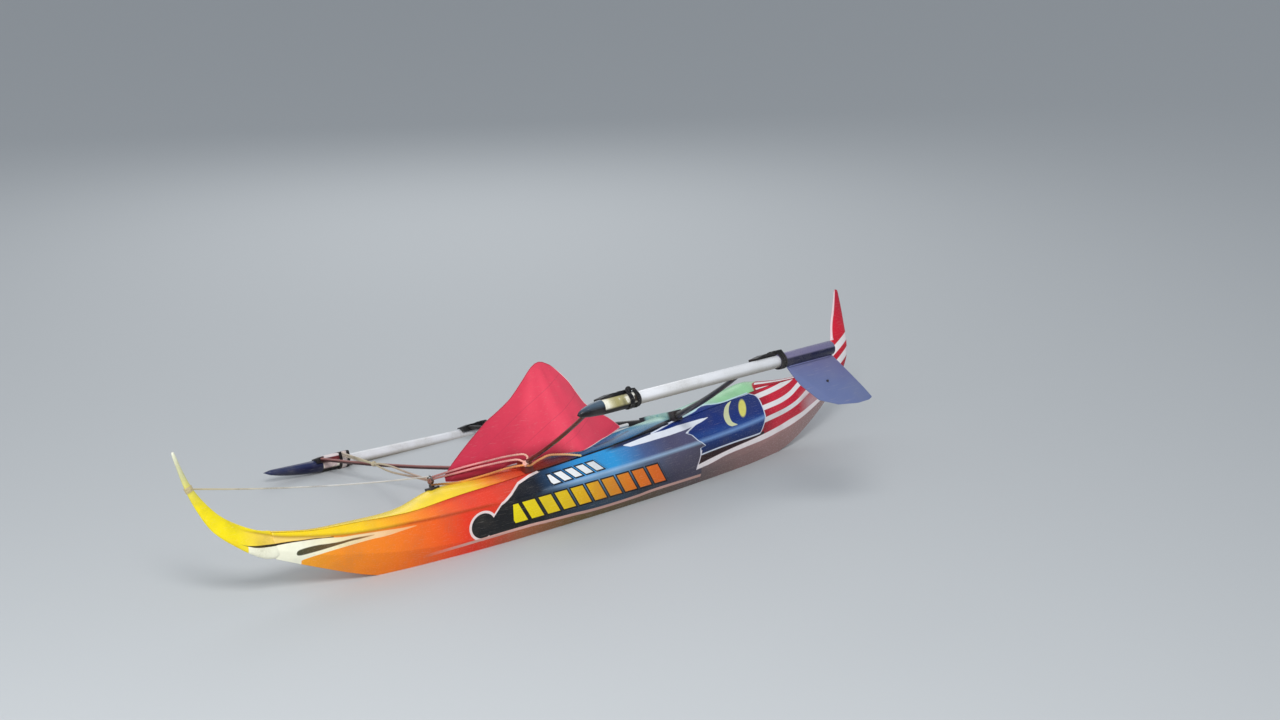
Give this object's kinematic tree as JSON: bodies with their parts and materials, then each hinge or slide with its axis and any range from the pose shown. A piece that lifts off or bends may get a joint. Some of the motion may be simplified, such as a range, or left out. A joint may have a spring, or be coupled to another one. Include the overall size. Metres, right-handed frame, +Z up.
{
  "type": "double outrigger racing canoe, small",
  "caption": "Slim decked outrigger canoe with upswept ends, afloat on one float, its other float raised and its sail lowered on deck.",
  "frame": {"origin": "on the waterline plane, at the middle of the hull's length, on the axis about which the boat is heeled", "axes": "+X forward along the hull, +Z up from the water, +Y to port. The boat is heeled 21.5 degrees to starboard about X, as it floats"},
  "size_m": [3.5161, 2.0649, 1.0628],
  "materials": {
    "hull_paint": "glossy sprayed paint on a laminated hull, worn at the corners",
    "deck_paint": "glossy sprayed paint",
    "bow_paint": "glossy yellow paint",
    "stern_paint": "glossy red and white paint",
    "white_pipe": "white plastic pipe, scuffed",
    "navy_paint": "satin navy paint",
    "fin_paint": "satin blue-grey paint",
    "black_plastic": "matt black",
    "dark_wood": "dark varnished wood",
    "lashing": "wound black rubber strip",
    "tape": "worn adhesive tape, yellow and white over dark",
    "sail_cloth": "smooth red sailcloth with a pale hem",
    "rope": "laid pale rope",
    "steel": "dull stainless steel"
  },
  "bodies": {
    "root": {"hull": "hull_paint", "deck": "deck_paint", "bow_horn": "bow_paint", "stern_horn": "stern_paint", "float_nose_port": "black_plastic", "float_pipe_port": "white_pipe", "float_tail_port": "navy_paint", "tape_sleeve_port": "tape", "fin_port": "fin_paint", "float_nose_starboard": "navy_paint", "float_pipe_starboard": "white_pipe", "float_tail_starboard": "navy_paint", "tape_sleeve_starboard": "tape", "fin_starboard": "fin_paint", "arm_beam_fore": "dark_wood", "arm_beam_aft": "dark_wood", "arm_fore_port": "dark_wood", "arm_fore_starboard": "dark_wood", "arm_aft_port": "dark_wood", "arm_aft_starboard": "dark_wood", "arm_shoe_fore_port": "black_plastic", "arm_shoe_fore_starboard": "black_plastic", "arm_shoe_aft_port": "black_plastic", "arm_shoe_aft_starboard": "black_plastic", "lashing_fore_port": "lashing", "lashing_fore_starboard": "lashing", "lashing_aft_port": "lashing", "lashing_aft_starboard": "lashing", "sail": "sail_cloth", "boom": "white_pipe", "mast_step": "dark_wood", "mast_stub": "dark_wood", "ring_plate": "steel", "deck_ring": "steel", "horn_wrap": "rope", "bow_line": "rope", "stay_starboard": "rope"}
  },
  "joints": []
}
